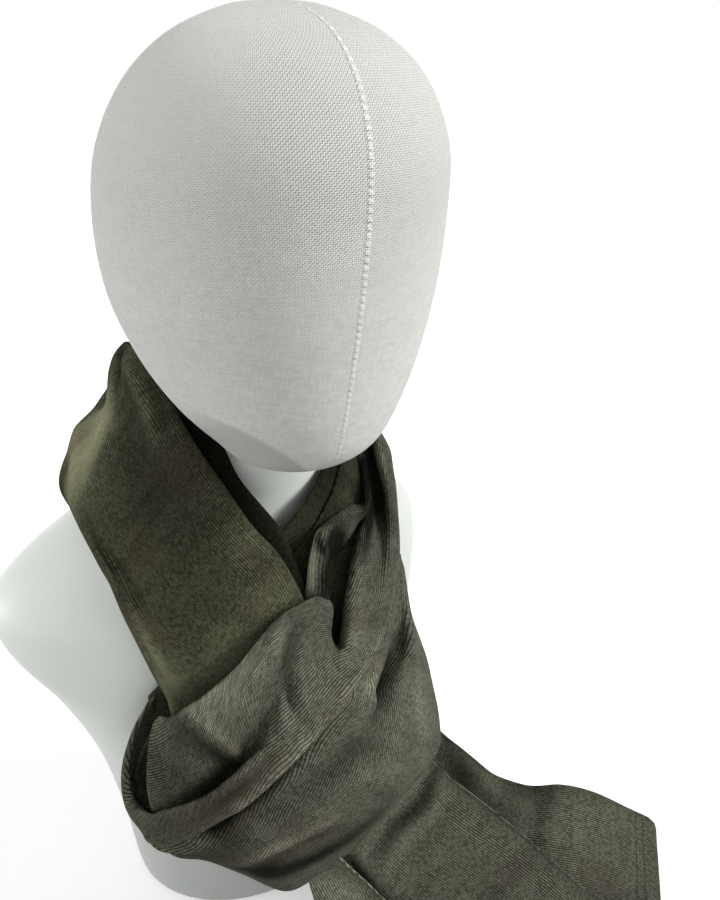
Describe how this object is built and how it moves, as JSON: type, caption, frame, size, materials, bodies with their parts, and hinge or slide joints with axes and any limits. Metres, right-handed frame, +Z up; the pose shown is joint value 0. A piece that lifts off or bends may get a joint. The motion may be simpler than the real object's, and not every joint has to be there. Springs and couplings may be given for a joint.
{
  "type": "looped cape scarf on a display bust",
  "caption": "Folded jersey cape scarf looped round the neck of a limbless display bust, its tails pulled through the bight and laid out in front.",
  "frame": {"origin": "middle of the bust's flat base, on the surface it stands on", "axes": "+Z up, the bust faces -Y, and the wearer's left is +X"},
  "size_m": [0.442, 0.4329, 0.6046],
  "materials": {
    "jersey": "soft matte heathered olive knit",
    "linen": "matte pale plain weave, stretched smooth",
    "moulding": "smooth pale moulded shell with a low sheen"
  },
  "bodies": {
    "root": {"bust_body": "moulding", "bust_head": "linen", "tail_strand_outer_ply": "jersey", "tail_strand_inner_ply": "jersey", "loop_rear_ply": "jersey", "loop_rear_fold": "jersey", "loop_inner_fold": "jersey", "loop_pouch_ply": "jersey", "loop_rim_ply": "jersey", "loop_outer_ply": "jersey", "tail_back": "jersey", "tail_front": "jersey", "tail_front_side_fold": "jersey"}
  },
  "joints": []
}
